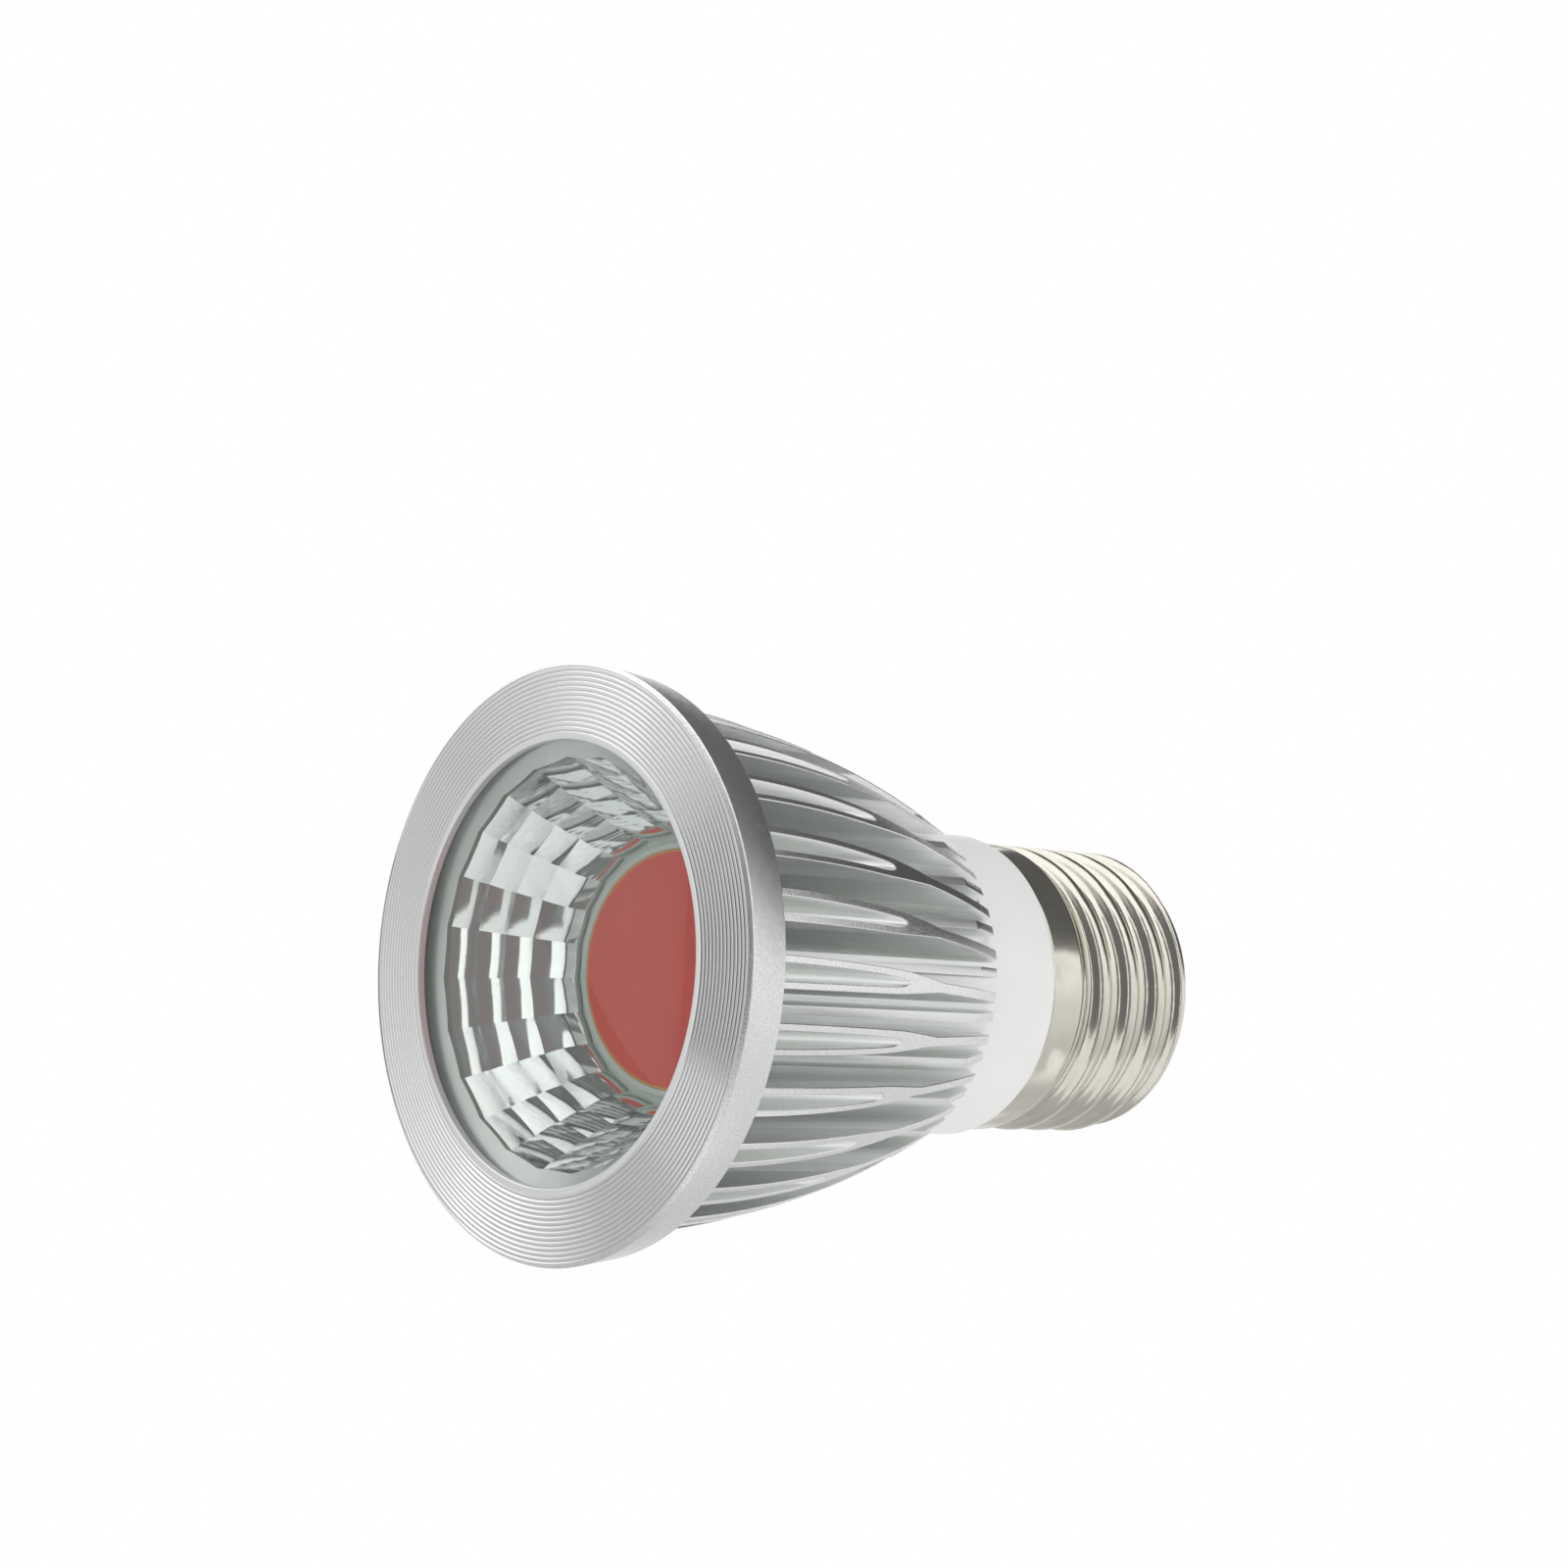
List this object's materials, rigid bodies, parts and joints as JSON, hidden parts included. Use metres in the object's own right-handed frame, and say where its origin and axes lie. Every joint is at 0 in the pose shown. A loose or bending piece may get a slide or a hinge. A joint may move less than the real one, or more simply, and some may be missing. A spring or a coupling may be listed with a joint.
{
  "type": "cob led bulb",
  "caption": "Reflector lamp with a chip-on-board light behind a facetted bowl, forked-fin heat sink, plastic collar and Edison screw base",
  "frame": {"origin": "centre of the front ring's face, at the bottom of the lamp as it stands on its ring", "axes": "+Z along the lamp's axis from the light to the screw base; +X and +Y across it, +X toward the side of the ring nearest the picture's camera"},
  "size_m": [0.05, 0.05, 0.07],
  "materials": {
    "turned_ring": "fine turned spiral on the face, satin side wall",
    "clear_cover": "clear polished",
    "metallised_plastic": "vacuum metallised, mirror bright",
    "light_board": "grey solder mask on aluminium core",
    "light_dam": "translucent silicone bead",
    "phosphor": "matte silicone gel with red phosphor",
    "heat_pad": "soft grey gap pad",
    "extruded_aluminium": "clear anodised, bare metal where turned",
    "screw_steel": "zinc plated",
    "red_insulation": "extruded insulation",
    "black_insulation": "extruded insulation",
    "circuit_board": "green solder mask on glass fibre",
    "film_case": "moulded case",
    "can_sleeve": "heat-shrink sleeve",
    "ferrite": "sintered, ground",
    "winding_tape": "polyester tape",
    "moulded_epoxy": "moulded epoxy",
    "resistor_body": "lacquered",
    "white_plastic": "moulded, soft gloss",
    "nickelled_shell": "nickel plated, bright rolled sheet",
    "black_glass": "opaque black vitrite, fire polished",
    "tinned_contact": "tin coated",
    "brown_insulation": "extruded insulation",
    "blue_insulation": "extruded insulation"
  },
  "bodies": {
    "root": {"front_ring": "turned_ring", "cover_glass": "clear_cover", "reflector": "metallised_plastic", "cob_board": "light_board", "cob_dam": "light_dam", "led_disc": "phosphor", "thermal_pad": "heat_pad", "heat_sink": "extruded_aluminium", "collar_screws": "screw_steel", "positive_lead": "red_insulation", "negative_lead": "black_insulation", "driver_board": "circuit_board", "input_capacitor": "film_case", "output_capacitor": "can_sleeve", "transformer_core": "ferrite", "transformer_coil": "winding_tape", "rectifier": "moulded_epoxy", "driver_chip": "moulded_epoxy", "fuse_resistor": "resistor_body", "base_collar": "white_plastic", "screw_shell": "nickelled_shell", "insulator": "black_glass", "centre_contact": "tinned_contact", "live_wire": "brown_insulation", "neutral_wire": "blue_insulation"}
  },
  "joints": []
}
